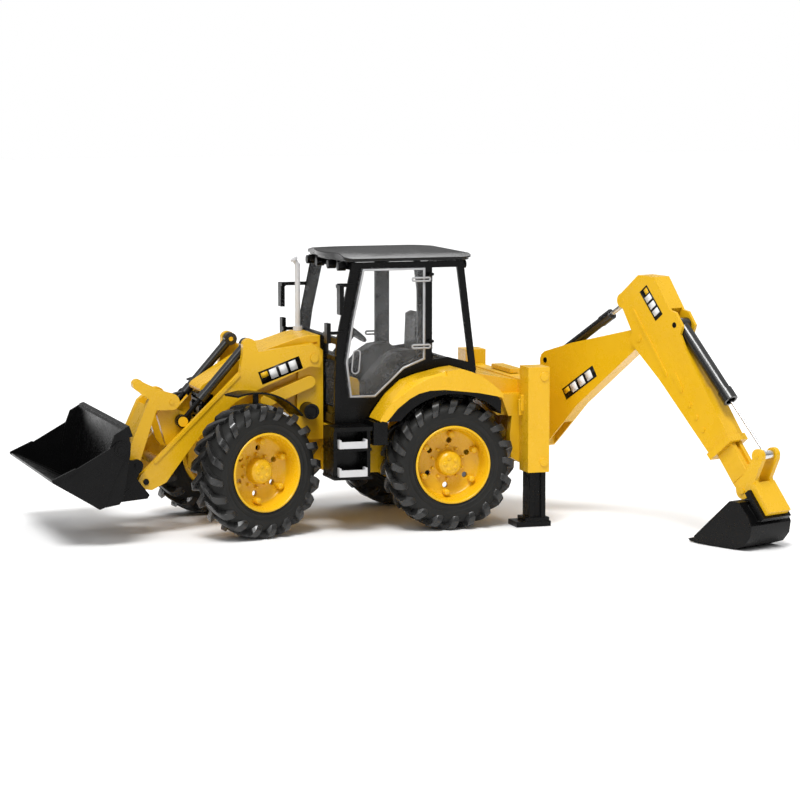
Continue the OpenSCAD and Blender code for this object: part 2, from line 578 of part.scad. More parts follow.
module bucket_jaw() color(black) {
  slab([[172.5, 26.8], [176, 25.5], [181, 28.6], [207.2, 44.4], [207.2, 46], [203, 45.2], [172.5, 30.6]],
    -lh, lh);
  both() difference() {
    union() {
      slab([[157.6, 62], [161.6, 70.4], [169, 65.6], [192, 52.6], [207.2, 46], [207.2, 44.4], [181, 28.6],
        [176, 25.5], [172.5, 26.8], [168, 40]], lh - 1.4, lh);
      disc(jaw_pin, 5.4, lh - 1.4, lh);
      disc(jaw_pin, 4.2, lh - 1.4, lh + 0.9);
      // folded edge of the side plate
      bar([192, 52.2], [206.6, 45.6], 1.2, lh - 1.4, lh + 0.8);
    }
    disc(jaw_pin, 2.56, lh - 4, lh + 4);
  }
}
// ---- backhoe ----
module slide_carriage() color(yellow) {
  box(-138, -134.4, -20, 20, 40, 102);
  for (z = [40, 93.4]) difference() {
    union() {
      box(-148, -136, -8, 8, z, z + 5.4);
      translate([king[0], 0, z]) cylinder(h = 5.4, r = 8);
    }
    translate([king[0], 0, z - 1]) cylinder(h = 9, r = 3.06);
  }
  // hooks over the two cross beams of the frame
  box(-138, -129, -20, 20, 100.4, 103.4);
  box(-138, -129, -20, 20, 38, 41.6);
}
module kingpost() color(yellow) swung() {
  difference() {
    union() {
      translate([0, 0, 45.8]) cylinder(h = 47.2, r = 6.5);
      translate([0, 0, 45.8]) cylinder(h = 14, r = 8);
      both() slab([[0, 46.4], [0, 72], [6, 72], [20, 62], [21.4, 56], [18, 48.4], [12, 46.4]], boom_half + 0.5, 9);
    }
    disc(boom_pin, 9.2, -boom_half - 0.5, boom_half + 0.5);
  }
  translate([0, 0, 39.6]) cylinder(h = 59.8, r = 3);
  disc(boom_pin, 3, -9.8, 9.8);
}
boom_out = [[19.4, 106], [20.4, 113], [24, 115.6], [50.1, 123.2], [108.6, 136.4], [117, 138], [123.4, 132],
  [121.6, 126.6], [114, 124.6], [57, 81], [33.4, 57.6], [24, 48.6], [14, 47.4], [8.2, 50.2], [6, 56], [8, 62], [13, 71]];
module boom() color(yellow) swung() {
  difference() {
    union() {
      slab(boom_out, -boom_half, boom_half);
      disc(ram_root, 6.5, -boom_half, boom_half);
      disc(stick_pin, 6.6, -boom_half, boom_half);
      disc(boom_pin, 8.4, -boom_half, boom_half);
    }
    // trough for the upper ram, open at the top
    slab([[24, 130], [19, 117], [19, 103.6], [26, 102.6], [88, 141], [80, 150]], -boom_half + 1.3,
      boom_half - 1.3);
    // lightening pocket under the root
    slab([[30, 50], [44, 66], [40, 70], [26, 62], [25, 46]], -boom_half + 1.3, boom_half - 1.3);
    disc(boom_pin, 3.06, -20, 20);
    disc(stick_pin, 2.56, -20, 20);
  }
  disc(ram_root, 1.5, -boom_half - 0.2, boom_half + 0.2);
}
crowd_len = norm(ear_pin - ram_root);
module crowd_barrel() color(black) swung() difference() {
  along(ram_root, ear_pin) difference() {
    union() {
      rotate([0, 90, 0]) translate([0, 0, 2]) cylinder(h = 62, r = 3.3);
      rotate([0, 90, 0]) translate([0, 0, 58]) cylinder(h = 11, r = 3.8);
      disc([0, 0], 3.4, -3.4, 3.4);
    }
    rotate([0, 90, 0]) translate([0, 0, 12]) cylinder(h = 70, r = 2.1);
  }
  disc(ram_root, 1.56, -20, 20);
}
module crowd_rod() color(silver) swung() difference() {
  along(ram_root, ear_pin) {
    rotate([0, 90, 0]) translate([0, 0, 40]) cylinder(h = crowd_len - 43, r = 1.7);
    disc([crowd_len, 0], 4.9, -3.6, 3.6);
  }
  disc(ear_pin, 3.7, -20, 20);
}
sh = boom_half + 2.1;
module stick_outer() color(yellow) swung() dipper() {
  difference() {
    union() {
      slab([[-34, 26], [-24, 37.5], [2, 35.4], [6, 38.6], [17, 38], [20, 32.8], [31.7, 30.4], [100, 26.8],
        [100, 5.6], [33.4, -1.6], [4, -7], [-8, -2.4], [-24, 0], [-33.6, 1]], -sh, sh);
      disc([0, 0], 7.4, -sh, sh);
      disc([-28.9, 3.4], 5.2, -sh, sh);
      slab([[97, 4.2], [102, 4.6], [102, 27.8], [97, 27.8]], -sh - 1.2, sh + 1.2);
      // raised ribs and rivet heads on both faces
      for (s = [-1, 1]) {
        slab([[-19.4, 8], [-18, 9.1], [34, 7.1], [35.4, 6], [34, 4.9], [-18, 6.9]], s * sh - 0.6, s * sh + 0.6);
        slab([[36, 12.2], [38, 14], [50, 13], [52, 10.9], [50, 9], [38, 10]], s * sh - 0.6, s * sh + 0.6);
        for (x = [62, 72, 82]) disc([x, 11], 1.7, s * sh - 0.6, s * sh + 0.8);
      }
    }
    // room for the boom tip and the upper ram
    slab([[-50, -30], [-50, 11], [-6, 12.6], [14, 9.6], [20, 3], [24, -30]], -boom_half - 0.4, boom_half + 0.4);
    // channel in which the inner arm slides
    slab([[20, 8.6], [110, 8.6], [110, 25.2], [20, 25.2]], -boom_half, boom_half);
    // mouth of the ram bracket
    slab([[-2, 50], [2, 27], [26, 27], [26, 50]], -5.1, 5.1);
    slab([[24, 50], [24, 29.2], [60, 27.4], [60, 50]], -5.1, 5.1);
  }
  disc([0, 0], 2.5, -sh - 0.6, sh + 0.6);
  disc([-28.9, 3.4], 1.5, -sh - 0.3, sh + 0.3);
  disc([12, 32.5], 1.5, -sh, sh);
}
module stick_inner() color(yellow) swung() dipper() difference() {
  union() {
    slab([[56, 9], [126, 9], [131, 10.7], [133.8, 21.8], [127, 24.8], [56, 24.8]], -4.9, 4.9);
    disc([133.8, 16.2], 5.6, -4.9, 4.9);
    slab([[112, 9.4], [124, 9.4], [124, 24.4], [112, 24.4]], -5.2, 5.2);
  }
  // dark slot along its outer edge
  slab([[80, 22.4], [118, 22.4], [122, 30], [80, 30]], -1.8, 1.8);
  disc([133.8, 16.2], 2.06, -20, 20);
}
dig_a = [12, 32.5];
dig_b = [122.8, 41];
dig_len = norm(dig_b - dig_a);
module dig_barrel() color(black) swung() dipper() difference() {
  along(dig_a, dig_b) difference() {
    union() {
      rotate([0, 90, 0]) translate([0, 0, 2]) cylinder(h = 58, r = 4.4);
      rotate([0, 90, 0]) translate([0, 0, 57]) cylinder(h = 8.5, r = 5.2);
      disc([0, 0], 4.6, -4.6, 4.6);
    }
    rotate([0, 90, 0]) translate([0, 0, 8]) cylinder(h = 70, r = 3.5);
  }
  disc(dig_a, 1.56, -20, 20);
}
module dig_rod() color(silver) swung() dipper() difference() {
  along(dig_a, dig_b) {
    rotate([0, 90, 0]) translate([0, 0, 12]) cylinder(h = dig_len - 14, r = 0.9);
    disc([dig_len, 0], 3, -4.9, 4.9);
  }
  disc(dig_b, 1.56, -20, 20);
}
module hitch() color(yellow) swung() dipper() {
  both() {
    slab([[122, 36], [118.6, 40], [119.4, 44], [123, 45.6], [127.6, 43], [134, 30], [137.6, 28.8], [137.6, 14],
      [134, 10.6], [129, 12.4], [126, 22]], 5.5, 8.8);
    disc(dig_b, 4.7, 5.5, 8.8);
    disc([133.8, 16.2], 5.6, 5.5, 8.8);
  }
  slab([[135.4, 24.6], [135.4, 28.8], [158.6, 28.8], [158.6, 24.6]], -10.5, 10.5);
  disc(dig_b, 1.5, -9.2, 9.2);
  disc([133.8, 16.2], 2, -9.6, 9.6);
}
module digger_bucket() color(black) swung() {
  out = [[212, 31.6], [180.6, 4.6], [184, 1.4], [199, 0.2], [216, 0.2], [225, 3], [230.4, 9.4], [231.6, 17],
    [229, 22], [220, 31.4]];
  both() slab(out, dh - 1.6, dh);
  difference() {
    slab(out, -dh, dh);
    slab([[190, 40], [211.4, 28.6], [218.6, 28.6], [226.4, 20.6], [228.6, 16.4], [227.6, 10.6], [223.6, 5.6],
      [215.6, 2.4], [199, 2.4], [184, 3.6], [170, 3]], -dh + 1.5, dh - 1.5);
  }
  // cutting teeth
  for (i = [0:3]) translate([0, -dh + 4.5 + i * (2 * dh - 9) / 3, 0])
    slab([[173.6, 2.2], [175, 0.6], [186, 0.2], [190, 2.6], [184, 5]], -2.2, 2.2);
  // coupling plate and its two lugs
  dipper() {
    slab([[138, 20.6], [138, 24.4], [160.5, 24.4], [160.5, 20.6]], -13.5, 13.5);
    both() slab([[145, 14], [146, 22], [158, 22], [159, 12]], 9, 12.4);
  }
}
module towers_with_studs() { loader_towers(); color(yellow) both() lift_studs(); }

chassis();
front_axle();
rear_axle();
hood();
grille();
towers_with_studs();  // loader_towers
cross_tube();
cab_frame();
roof();
windscreen();
side_glass();
rear_window();
seat();
steering_column();
steering_wheel();
mirrors();
work_lights();
exhaust();
rear_fenders();
fender_liners();
step_boxes();
step_treads();
rear_frame();
stabiliser_housings();
leg_l();
leg_r();
door_l();
door_r();
knuckle_l();
knuckle_r();
mudguard_l();
mudguard_r();
tie_rod();
tyre_fl();
tyre_fr();
tyre_rl();
tyre_rr();
rim_fl();
rim_fr();
rim_rl();
rim_rr();
loader_arms();
bell_cranks();
tilt_links();
tilt_barrels();
tilt_rods();
loader_bucket();
loader_pins();
bucket_jaw();
slide_carriage();
kingpost();
boom();
crowd_barrel();
crowd_rod();
stick_outer();
stick_inner();
dig_barrel();
dig_rod();
hitch();
digger_bucket();
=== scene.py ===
import json
import math

import bmesh
import bpy
from mathutils import Matrix, Vector


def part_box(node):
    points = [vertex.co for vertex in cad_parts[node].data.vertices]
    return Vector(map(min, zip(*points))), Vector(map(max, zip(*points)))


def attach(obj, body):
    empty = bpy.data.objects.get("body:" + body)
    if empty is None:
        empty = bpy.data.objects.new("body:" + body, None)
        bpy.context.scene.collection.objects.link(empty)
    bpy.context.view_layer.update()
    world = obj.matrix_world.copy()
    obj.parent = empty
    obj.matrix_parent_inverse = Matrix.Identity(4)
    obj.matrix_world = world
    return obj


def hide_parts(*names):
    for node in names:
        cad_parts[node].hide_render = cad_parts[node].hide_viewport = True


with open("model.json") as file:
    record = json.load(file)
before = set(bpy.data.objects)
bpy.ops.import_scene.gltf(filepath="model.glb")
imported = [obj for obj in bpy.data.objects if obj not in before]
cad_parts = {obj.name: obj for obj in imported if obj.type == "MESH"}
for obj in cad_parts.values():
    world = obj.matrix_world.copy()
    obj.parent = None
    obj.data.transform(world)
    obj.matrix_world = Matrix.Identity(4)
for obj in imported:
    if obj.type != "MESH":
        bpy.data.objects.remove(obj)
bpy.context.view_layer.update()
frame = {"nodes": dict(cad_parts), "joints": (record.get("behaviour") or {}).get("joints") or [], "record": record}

MM = 0.001
NODES = frame["nodes"]
scene = bpy.context.scene

# ------------------------------------------------------------------ camera
cam_data = bpy.data.cameras.new("camera")
cam_data.lens, cam_data.sensor_width = 136.9, 36.0
cam_data.clip_start, cam_data.clip_end = 0.05, 30.0
cam = bpy.data.objects.new("camera", cam_data)
scene.collection.objects.link(cam)
cam.location = (0.5883, 2.0148, 0.3249)
cam.rotation_euler = (Vector((-0.0544, 0, 0.08188)) - cam.location).to_track_quat("-Z", "Y").to_euler()
scene.camera = cam
scene.view_settings.view_transform = "Standard"

# ------------------------------------------------------------------ materials


class Nodes:
    """A short way to write a node material."""

    def __init__(self, name):
        self.mat = bpy.data.materials.new(name)
        self.mat.use_nodes = True
        self.tree = self.mat.node_tree
        self.bsdf = next(n for n in self.tree.nodes if n.type == "BSDF_PRINCIPLED")
        self.coord = self.tree.nodes.new("ShaderNodeTexCoord").outputs["Object"]

    def add(self, kind, links=(), **values):
        n = self.tree.nodes.new("ShaderNode" + kind)
        for key, value in values.items():
            if hasattr(n, key):
                setattr(n, key, value)
            else:
                n.inputs[key.replace("_", " ")].default_value = value
        for key, source in dict(links).items():
            self.tree.links.new(source, n.inputs[key])
        return n

    def noise(self, scale, detail=4.0, rough=0.55):
        n = self.add("TexNoise", {"Vector": self.coord}, Scale=scale, Detail=detail, Roughness=rough)
        return n.outputs["Fac"]

    def ramp(self, source, lo, hi, a=0.35, b=0.65):
        n = self.add("MapRange", {"Value": source})
        for key, value in (("From Min", a), ("From Max", b), ("To Min", lo), ("To Max", hi)):
            n.inputs[key].default_value = value
        return n.outputs["Result"]

    def mix(self, fac, a, b):
        n = self.add("Mix", data_type="RGBA")
        self.tree.links.new(fac, n.inputs[0])
        for i, c in ((6, a), (7, b)):
            if isinstance(c, tuple):
                n.inputs[i].default_value = (*c, 1.0)
            else:
                self.tree.links.new(c, n.inputs[i])
        return n.outputs[2]

    def set(self, **values):
        for key, value in values.items():
            socket = self.bsdf.inputs[key.replace("_", " ")]
            if isinstance(value, bpy.types.NodeSocket):
                self.tree.links.new(value, socket)
            else:
                socket.default_value = value

    def bump(self, height, distance, strength=1.0, normal=None):
        n = self.add("Bump", {"Height": height})
        n.inputs["Strength"].default_value = strength
        n.inputs["Distance"].default_value = distance
        if normal is not None:
            self.tree.links.new(normal, n.inputs["Normal"])
        return n.outputs["Normal"]


def plastic(name, light, dark, rough, grain=0.00002, gloss_shift=0.06, spec=0.5):
    """Moulded plastic: slight colour drift, uneven gloss, fine grain and a slow ripple from the mould."""
    m = Nodes(name)
    broad = m.noise(28.0, 3.0)
    fine = m.noise(900.0, 2.0)
    m.set(Base_Color=m.mix(m.ramp(broad, 0.0, 1.0), light, dark))
    gloss = m.add("Math", operation="ADD")
    m.tree.links.new(m.ramp(m.noise(65.0, 5.0), rough - gloss_shift, rough + gloss_shift), gloss.inputs[0])
    m.tree.links.new(m.ramp(fine, -0.03, 0.03), gloss.inputs[1])
    m.set(Roughness=gloss.outputs[0])
    ripple = m.bump(m.noise(110.0, 2.0), 0.00003, 0.5)
    m.set(Normal=m.bump(fine, grain, 1.0, ripple))
    m.set(Specular_IOR_Level=spec)
    return m.mat


def metal(name, colour, rough):
    """Bright plated plastic: brushed streaks and small scuffs."""
    m = Nodes(name)
    stretch = m.add("Mapping", {"Vector": m.coord})
    stretch.inputs["Scale"].default_value = (60.0, 60.0, 900.0)
    streak = m.add("TexNoise", {"Vector": stretch.outputs["Vector"]}, Scale=3.0, Detail=3.0).outputs["Fac"]
    m.set(Base_Color=m.mix(m.ramp(m.noise(180.0), 0.0, 1.0), colour, tuple(c * 0.78 for c in colour)))
    m.set(Roughness=m.ramp(streak, rough - 0.08, rough + 0.1), Metallic=1.0)
    m.set(Normal=m.bump(streak, 0.00002, 0.5))
    return m.mat


def clear(name):
    """Clear moulded window: thin and see-through, with a faint uneven haze."""
    m = Nodes(name)
    haze = m.noise(90.0, 6.0)
    m.set(Base_Color=m.mix(m.ramp(haze, 0.0, 1.0), (0.93, 0.94, 0.95), (0.84, 0.86, 0.88)))
    m.set(Roughness=m.ramp(haze, 0.04, 0.10), Alpha=m.ramp(haze, 0.02, 0.05), Specular_IOR_Level=1.0)
    m.set(Normal=m.bump(m.noise(45.0, 1.0), 0.00004, 0.4))
    return m.mat


def tyre_rubber(name, light, dark, rough, spec):
    """Moulded rubber: a dusting of lighter patches over a fine grain."""
    m = Nodes(name)
    dust = m.noise(60.0, 6.0, 0.65)
    m.set(Base_Color=m.mix(m.ramp(dust, 0.0, 1.0, 0.3, 0.7), dark, light))
    m.set(Roughness=m.ramp(m.noise(240.0, 4.0), rough - 0.07, rough + 0.09))
    m.set(Normal=m.bump(m.noise(1300.0, 3.0), 0.00004, 0.8), Specular_IOR_Level=spec)
    return m.mat


MATS = {
    "yellow_paint": plastic("yellow_plastic", (0.74, 0.425, 0.0075), (0.715, 0.405, 0.007), 0.28, spec=0.4),
    "black_plastic": plastic("black_plastic", (0.0036, 0.0036, 0.0037), (0.0026, 0.0026, 0.0027), 0.27,
                             spec=0.14),
    "roof_black": plastic("roof_plastic", (0.006, 0.006, 0.0063), (0.0045, 0.0045, 0.0047), 0.2, 0.00001,
                          0.04, spec=0.4),
    "tyre_rubber": tyre_rubber("tyre_rubber", (0.0135, 0.0135, 0.0122), (0.008, 0.008, 0.0074), 0.54, 0.26),
    "silver_plastic": plastic("silver_plastic", (0.60, 0.60, 0.61), (0.52, 0.52, 0.53), 0.3, 0.00002),
    "bright_metal": metal("bright_metal", (0.74, 0.74, 0.75), 0.24),
    "clear_plastic": clear("clear_plastic"),
}
RAM = plastic("ram_plastic", (0.010, 0.010, 0.0105), (0.007, 0.007, 0.0072), 0.24, 0.00001, 0.04, spec=0.7)
LUG = tyre_rubber("lug_rubber", (0.016, 0.016, 0.0155), (0.010, 0.010, 0.0098), 0.3, 0.6)

SLOT = {row["node"]: row["material_slot"] for row in frame["record"]["subparts"]}


def paint(obj, mat):
    obj.data.materials.clear()
    obj.data.materials.append(mat)


# edges sharper than these angles are rounded; the width is in millimetres where BEVEL doesn't say another
CAD_ANGLE, PIECE_ANGLE, PLAIN_BEVEL = 32, 34, 0.3


def round_edges(obj, width, angle):
    """Round the edges sharper than angle, in degrees; width in millimetres."""
    bevel = obj.modifiers.new("bevel", "BEVEL")
    bevel.width, bevel.segments = width * MM, 3
    bevel.limit_method, bevel.angle_limit = "ANGLE", math.radians(angle)
    bevel.harden_normals = True
    bevel.use_clamp_overlap = True


# every CAD node keeps its mesh; rounded edges come from modifiers
BEVEL = {"roof": 0.9, "hood": 0.8, "rear_fenders": 1.1, "rear_frame": 0.6, "stabiliser_housings": 0.7,
         "boom": 0.6, "stick_outer": 0.5, "loader_arms": 0.5, "tilt_links": 0.6, "bell_cranks": 0.5,
         "loader_bucket": 0.35, "bucket_jaw": 0.35, "digger_bucket": 0.4, "cab_frame": 0.4}
for name, obj in NODES.items():
    paint(obj, RAM if name in ("tilt_barrels", "crowd_barrel", "dig_barrel") else MATS[SLOT[name]])
    custom = obj.data.attributes.get("custom_normal")
    if custom is not None:
        obj.data.attributes.remove(custom)
    for poly in obj.data.polygons:
        poly.use_smooth = True
    weld = obj.modifiers.new("weld", "WELD")
    weld.merge_threshold = 0.00001
    flat = obj.modifiers.new("dissolve", "DECIMATE")
    flat.decimate_type = "DISSOLVE"
    flat.angle_limit = math.radians(0.6)
    round_edges(obj, BEVEL.get(name, PLAIN_BEVEL), CAD_ANGLE)

# ------------------------------------------------------------------ mesh helpers


def face_outwards(mesh, weld=0.0):
    bm = bmesh.new()
    bm.from_mesh(mesh)
    if weld:
        bmesh.ops.remove_doubles(bm, verts=bm.verts, dist=weld)
    bmesh.ops.recalc_face_normals(bm, faces=bm.faces)
    bm.to_mesh(mesh)
    bm.free()


def piece(name, verts, faces, mats, body, slot, replaces=(), matrix=None, bevel=0.0, indices=None):
    """A new piece from millimetre points in the row frame, riding on a body."""
    mesh = bpy.data.meshes.new(name)
    mesh.from_pydata([Vector(v) * MM for v in verts], [], faces)
    if matrix is not None:
        mesh.transform(matrix)
    for m in mats:
        mesh.materials.append(m)
    if indices is not None:
        mesh.polygons.foreach_set("material_index", indices)
    face_outwards(mesh)
    for poly in mesh.polygons:
        poly.use_smooth = True
    obj = bpy.data.objects.new(name, mesh)
    scene.collection.objects.link(obj)
    if bevel:
        round_edges(obj, bevel, PIECE_ANGLE)
    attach(obj, body)
    if replaces:
        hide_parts(*replaces)
    return obj


def spline(points, steps):
    """Points on a smooth curve through the given ones (Catmull-Rom), as tuples of any length."""
    out = []
    last = len(points) - 1
    for i in range(last):
        near = (points[max(i - 1, 0)], points[i], points[i + 1], points[min(i + 2, last)])
        for k in range(steps):
            t = k / steps
            out.append(tuple(
                0.5 * (2 * b + (c - a) * t + (2 * a - 5 * b + 4 * c - d) * t * t
                       + (3 * b - a - 3 * c + d) * t ** 3)
                for a, b, c, d in zip(*near)))
    out.append(tuple(points[-1]))
    return out


def revolved(profile, segments, closed=True):
    """(verts, faces) of a ring: profile points are (radius, y), turned about Y."""
    n = len(profile)
    verts = [(r * math.cos(a), y, -r * math.sin(a))
             for a in (2 * math.pi * k / segments for k in range(segments)) for r, y in profile]
    faces = []
    for k in range(segments):
        k2 = (k + 1) % segments
        for i in range(n if closed else n - 1):
            j = (i + 1) % n
            faces.append((k * n + i, k * n + j, k2 * n + j, k2 * n + i))
    return verts, faces


def add(target, verts, faces, index=0, indices=None):
    """Append a shape to target, a pair of lists; index is its material's place, noted in indices."""
    base = len(target[0])
    target[0].extend(verts)
    target[1].extend([tuple(base + i for i in f) for f in faces])
    if indices is not None:
        indices.extend([index] * len(faces))


def from_columns(columns):
    """A matrix from its three axes and its origin, in metres."""
    m = Matrix.Identity(4)
    for i, column in enumerate(columns):
        for row in range(3):
            m[row][i] = column[row]
    return m


def lathe_stud(centre, radius, y0, y1, segments=20, dome=0.35):
    """A short round stud along +Y with a rolled edge, centred at (x, z)."""
    prof = [(0.0, y0), (radius, y0), (radius, y1 - dome), (radius - 0.3 * dome, y1 - 0.3 * dome),
            (radius - dome, y1), (0.0, y1 + 0.1 * dome)]
    verts, faces = [], []
    for r, y in prof:
        if r == 0.0:
            verts.append((centre[0], y, centre[1]))
        else:
            verts.extend((centre[0] + r * math.cos(2 * math.pi * k / segments), y,
                          centre[1] + r * math.sin(2 * math.pi * k / segments)) for k in range(segments))
    ring = [1 + segments * i for i in range(4)]
    for k in range(segments):
        k2 = (k + 1) % segments
        faces.append((0, ring[0] + k2, ring[0] + k))
        for a, b in zip(ring, ring[1:]):
            faces.append((a + k, a + k2, b + k2, b + k))
        faces.append((ring[3] + k, ring[3] + k2, len(verts) - 1))
    return verts, faces


# ------------------------------------------------------------------ tyres

TYRE_HALF = [(26.05, 11.4), (26.2, 12.5), (27.1, 13.15), (28.3, 13.3), (28.9, 13.75), (29.5, 13.5),
             (31.6, 13.8), (32.2, 14.1), (32.8, 13.9), (35.0, 13.85), (37.6, 13.1), (39.5, 11.6), (40.9, 9.0), (41.5, 5.5),
             (41.7, 0.0)]
LUG_TOP = [(44.3, -1.3), (44.75, 2.0), (44.9, 5.5), (44.85, 9.0), (44.5, 11.8), (43.3, 13.7), (41.2, 14.8),
           (38.6, 15.0), (36.2, 14.3), (35.0, 13.6)]
LUG_BASE = [(41.0, -1.3), (41.1, 2.0), (41.0, 5.5), (40.4, 8.4), (39.5, 10.4), (38.9, 11.4), (37.9, 12.2),
            (36.6, 12.9), (35.4, 13.1), (34.6, 13.0)]
LUG_HALF = [1.5, 1.7, 1.85, 2.05, 2.3, 2.5, 2.6, 2.5, 2.1, 1.3]
LUGS, LUG_SLOPE = 20, math.tan(math.radians(38))
TREAD_R, SHOULDER_Y = 44.0, 12.0    # where a lug's lean is measured, and where it turns down the side wall


def lug(phase, mirror):
    """One tread bar: it sweeps from the middle of the tread out over the shoulder and down the side wall."""
    stations = spline([(*t, *b, w) for t, b, w in zip(LUG_TOP, LUG_BASE, LUG_HALF)], 3)
    verts, faces = [], []
    for tr, ty, br, by, w in stations:
        shift = LUG_SLOPE * min(ty, SHOULDER_Y) / TREAD_R
        shift = shift + 0.012 * max(ty - SHOULDER_Y, 0.0) + 0.010 * max(42.0 - tr, 0.0)
        for r, y, side in ((br, by, -w - 1.0), (tr, ty, -w), (tr, ty, w), (br, by, w + 1.0)):
            a = phase + shift + side / TREAD_R
            verts.append((r * math.cos(a), -y if mirror else y, -r * math.sin(a)))
    rows = len(stations)
    for i in range(rows - 1):
        for j in range(4):
            k = (j + 1) % 4
            faces.append((4 * i + j, 4 * i + k, 4 * i + 4 + k, 4 * i + 4 + j))
    faces.append((0, 3, 2, 1))
    faces.append(tuple(4 * (rows - 1) + j for j in range(4)))
    return verts, faces


def wheel_matrix(joint_name, side):
    """The wheel's own frame: Y points outboard, Z up, origin at the hub, from the record's joint."""
    joint = next(j for j in frame["joints"] if j["name"] == joint_name)
    out = Vector(joint["axis"]).normalized() * side
    along = out.cross(Vector((0, 0, 1))) * side
    return from_columns((along, out, Vector((0, 0, 1)), Vector(joint["pos_m"])))


def tyre(node, body, matrix, turn):
    half = spline(TYRE_HALF, 2)
    profile = half + [(r, -y) for r, y in reversed(half[:-1])]
    mesh, indices = ([], []), []
    add(mesh, *revolved(profile, 120), 0, indices)
    for i in range(LUGS):
        for flip in (False, True):
            add(mesh, *lug(turn + 2 * math.pi * (i + 0.5 * flip) / LUGS, flip), 1, indices)
    mats = [MATS["tyre_rubber"], LUG]
    piece(node + "_treaded", *mesh, mats, body, "tyre_rubber", [node], matrix, 0.45, indices)


# ------------------------------------------------------------------ rims

RIM_FACE = [(0.0, 8.6), (6.2, 8.6), (6.9, 8.2), (7.3, 7.5), (7.9, 7.3), (8.2, 6.6), (8.2, 0.6), (8.6, 0.0),
            (9.4, -0.3), (14.0, 0.0), (19.0, 0.5), (21.9, 1.3), (22.9, 2.4), (23.3, 4.2), (23.8, 9.0),
            (24.3, 11.6), (24.8, 12.6), (25.1, 13.4), (25.3, 14.0), (25.8, 14.2), (26.5, 14.0),
            (26.75, 13.5), (26.5, 13.0), (25.95, 12.5), (25.95, -12.6), (25.4, -13.0), (23.2, -13.0),
            (22.9, -12.4), (22.9, -2.6), (21.0, -2.9), (4.3, -3.4), (4.06, -1.0), (4.06, 5.4), (0.0, 5.4)]
HOLES, HOLE_TURN = 6, math.radians(-5)
HOLE_AT, NUT_AT, BOLT_AT, CAP_BOLT_AT = 15.4, 20.0, 11.2, 4.1    # radii of the circles they stand on


def on_circle(radius, a):
    return radius * math.cos(a), -radius * math.sin(a)


def rim(node, body, matrix, turn):
    verts, faces = revolved(RIM_FACE, 96, closed=False)
    obj = piece(node + "_dished", verts, faces, [MATS["yellow_paint"]], body, "yellow_paint", [node], None)
    face_outwards(obj.data, 0.000004)
    cutter_verts, cutter_faces = [], []
    for i in range(HOLES):
        a = turn + HOLE_TURN + 2 * math.pi * i / HOLES
        add((cutter_verts, cutter_faces), *lathe_stud(on_circle(HOLE_AT, a), 2.0, -9, 4, 28))
    cutter = bpy.data.meshes.new("cutter")
    cutter.from_pydata([Vector(v) * MM for v in cutter_verts], [], cutter_faces)
    face_outwards(cutter)
    tool = bpy.data.objects.new("cutter", cutter)
    scene.collection.objects.link(tool)
    cut = obj.modifiers.new("holes", "BOOLEAN")
    cut.object, cut.operation, cut.solver = tool, "DIFFERENCE", "EXACT"
    bpy.context.view_layer.update()
    made = bpy.data.meshes.new_from_object(obj.evaluated_get(bpy.context.evaluated_depsgraph_get()))
    obj.modifiers.clear()
    obj.data = made
    bpy.data.objects.remove(tool)
    bm = bmesh.new()
    bm.from_mesh(made)
    studs, studs_faces = [], []
    for i in range(HOLES):
        a = turn + HOLE_TURN + 2 * math.pi * i / HOLES
        add((studs, studs_faces), *lathe_stud(on_circle(NUT_AT, a), 2.2, -0.6, 6.2, 24, 0.8))
    for i in range(10):
        a = turn + 2 * math.pi * i / 10
        add((studs, studs_faces), *lathe_stud(on_circle(BOLT_AT, a), 1.1, -0.8, 2.2, 14, 0.4))
    for i in range(5):
        a = turn + 2 * math.pi * (i + 0.25) / 5
        add((studs, studs_faces), *lathe_stud(on_circle(CAP_BOLT_AT, a), 1.5, 7.9, 9.15, 16, 0.5))
    base = [bm.verts.new(Vector(v) * MM) for v in studs]
    for f in studs_faces:
        bm.faces.new([base[i] for i in f])
    bmesh.ops.recalc_face_normals(bm, faces=bm.faces)
    bm.to_mesh(made)
    bm.free()
    made.transform(matrix)
    if matrix.determinant() < 0:
        made.flip_normals()
    for poly in made.polygons:
        poly.use_smooth = True
    made.set_sharp_from_angle(angle=math.radians(50))
    return obj


# tag, body, joint, side, and how far the tread is turned, in degrees
WHEELS = [("fl", "wheel_front_left", "roll_front_left", 1, 26),
          ("fr", "wheel_front_right", "roll_front_right", -1, 0),
          ("rl", "wheel_rear_left", "roll_rear_left", 1, 4),
          ("rr", "wheel_rear_right", "roll_rear_right", -1, 0)]
for tag, body, joint_name, side, degrees in WHEELS:
    place = wheel_matrix(joint_name, side)
    tyre("tyre_" + tag, body, place, math.radians(degrees))
    rim("rim_" + tag, body, place, math.radians(-90 if tag[1] == "l" else 0))

# ------------------------------------------------------------------ marking panels


def basis(origin, u, v):
    """A matrix whose X and Y lie along u and v in the surface, and Z outwards."""
    u, v = Vector(u).normalized(), Vector(v).normalized()
    return from_columns((u, v, u.cross(v), Vector(origin) * MM))


def prism(outline, z0, z1):
    n = len(outline)
    verts = [(x, y, z0) for x, y in outline] + [(x, y, z1) for x, y in outline]
    faces = [tuple(range(n - 1, -1, -1)), tuple(range(n, 2 * n))]
    faces += [(i, (i + 1) % n, n + (i + 1) % n, n + i) for i in range(n)]
    return verts, faces


